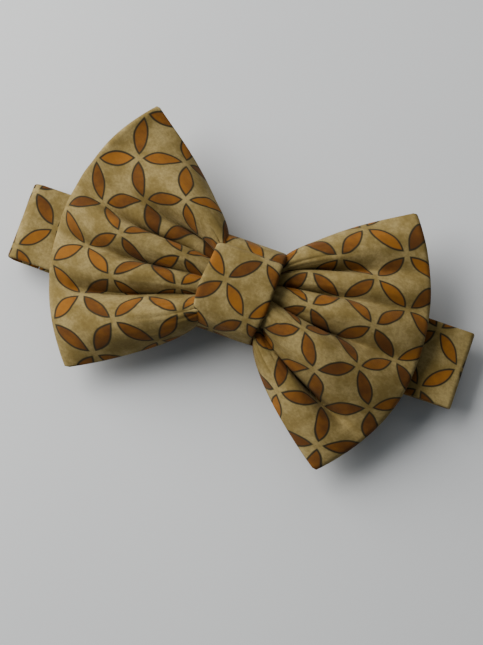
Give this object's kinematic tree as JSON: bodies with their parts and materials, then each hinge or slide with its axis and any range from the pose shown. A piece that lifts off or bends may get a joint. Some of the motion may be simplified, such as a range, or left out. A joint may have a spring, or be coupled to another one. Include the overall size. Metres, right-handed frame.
{
  "type": "bow tie",
  "caption": "Ready-tied bow tie in printed cotton: deep gathered bow and wrapped knot on a flat neckband folded behind, with slider, hook and eye.",
  "frame": {"origin": "middle of the base of the whole tie, on the surface that it lies on", "axes": "+X along the neckband towards the wearer's left wing, which is on the right seen from the front; +Y towards the top of the bow; +Z out of the front of the bow"},
  "size_m": [0.1494, 0.0914, 0.0256],
  "materials": {
    "printed_cotton": "matt plain-weave cotton, beige ground with ochre petals outlined in dark grey-green",
    "interlining": "matt non-woven",
    "sewing_thread": "twisted, slight sheen",
    "plated_steel": "bright plated, slightly brushed"
  },
  "bodies": {
    "neckband": {"neckband_front": "printed_cotton"},
    "bow": {"left_wing_front": "printed_cotton", "left_wing_back": "printed_cotton", "left_wing_interlining": "interlining", "right_wing_front": "printed_cotton", "right_wing_back": "printed_cotton", "right_wing_interlining": "interlining", "gathered_middle": "printed_cotton", "gathering_thread": "sewing_thread", "knot_band": "printed_cotton", "knot_interlining": "interlining"},
    "left_strap": {"long_strap": "printed_cotton"},
    "hook_end": {"strap_return": "printed_cotton"},
    "slider": {"slider": "plated_steel"},
    "hook": {"hook": "plated_steel"},
    "right_strap": {"short_strap": "printed_cotton"},
    "eye_ring": {"eye_ring": "plated_steel"}
  },
  "joints": [
    {"name": "bow_slide", "type": "slide", "parent": "neckband", "child": "bow", "axis": [1, 0, 0], "range_m": [-0.012, 0.012]},
    {"name": "left_fold", "type": "hinge", "parent": "neckband", "child": "left_strap", "pos_m": [-0.07087, -0.0015, 0.00637], "axis": [0, 1, 0], "range_deg": [0, 178]},
    {"name": "right_fold", "type": "hinge", "parent": "neckband", "child": "right_strap", "pos_m": [0.07305, -0.0015, 0.00855], "axis": [0, -1, 0], "range_deg": [0, 178]},
    {"name": "band_length", "type": "slide", "parent": "left_strap", "child": "hook_end", "axis": [1, 0, 0], "range_m": [0, 0.07]},
    {"name": "slider_run", "type": "slide", "parent": "hook_end", "child": "slider", "axis": [1, 0, 0], "range_m": [0, 0.07]},
    {"name": "hook_swing", "type": "hinge", "parent": "hook_end", "child": "hook", "pos_m": [0.031, -0.0015, 0.0019], "axis": [0, 1, 0], "range_deg": [-15, 80]},
    {"name": "eye_swing", "type": "hinge", "parent": "right_strap", "child": "eye_ring", "pos_m": [0.056, -0.0015, 0.0065], "axis": [0, -1, 0], "range_deg": [-8, 80]}
  ],
  "couplings": [
    {"joint": "slider_run", "follows": "band_length", "ratio": 1}
  ]
}
